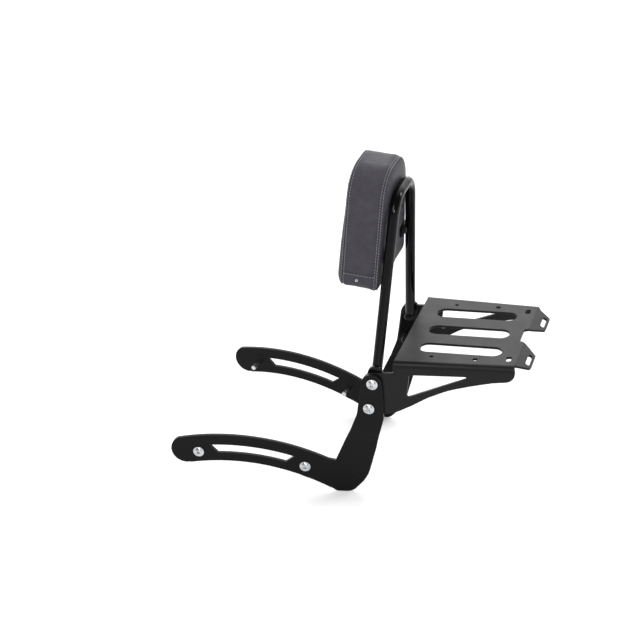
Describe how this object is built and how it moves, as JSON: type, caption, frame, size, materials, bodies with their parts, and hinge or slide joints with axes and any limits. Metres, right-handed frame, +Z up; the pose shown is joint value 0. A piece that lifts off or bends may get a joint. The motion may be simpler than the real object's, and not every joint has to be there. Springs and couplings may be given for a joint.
{
  "type": "motorcycle sissy bar with luggage rack",
  "caption": "Passenger backrest for a motorcycle: padded hoop, side plates that screw to the fender struts, and a slotted luggage rack behind it.",
  "frame": {"origin": "midway between the two middle bolt holes, on the top face of the luggage rack", "axes": "+X towards the rear of the motorcycle, +Y to its right, +Z up, square to the rack top"},
  "size_m": [0.58, 0.313, 0.5318],
  "materials": {
    "rack": "satin black powder coat",
    "plate": "satin black powder coat",
    "tube": "semi-gloss black powder coat",
    "vinyl": "fine-grained charcoal vinyl",
    "board": "bare plywood",
    "zinc": "bright zinc"
  },
  "bodies": {
    "root": {"luggage_rack": "rack", "side_plate_left": "plate", "side_plate_right": "plate", "hoop_tube": "tube", "hoop_lug_left": "plate", "hoop_lug_right": "plate", "pad_tab_left": "tube", "pad_tab_right": "tube", "pad_tab_top": "tube", "pad_cushion": "vinyl", "pad_board": "board", "pad_back_panel": "vinyl", "pad_insert_left": "zinc", "pad_insert_right": "zinc", "pad_insert_top": "zinc", "pad_screw_left": "plate", "pad_screw_right": "plate", "pad_screw_top": "plate", "pad_washer_left": "plate", "pad_washer_right": "plate", "pad_washer_top": "plate", "side_screw_left_upper": "zinc", "side_screw_left_lower": "zinc", "side_screw_right_upper": "zinc", "side_screw_right_lower": "zinc", "side_nut_left_upper": "plate", "side_nut_left_lower": "plate", "side_nut_right_upper": "plate", "side_nut_right_lower": "plate", "fender_screw_left_front": "zinc", "fender_screw_left_rear": "zinc", "fender_screw_right_front": "zinc", "fender_screw_right_rear": "zinc"}
  },
  "joints": []
}
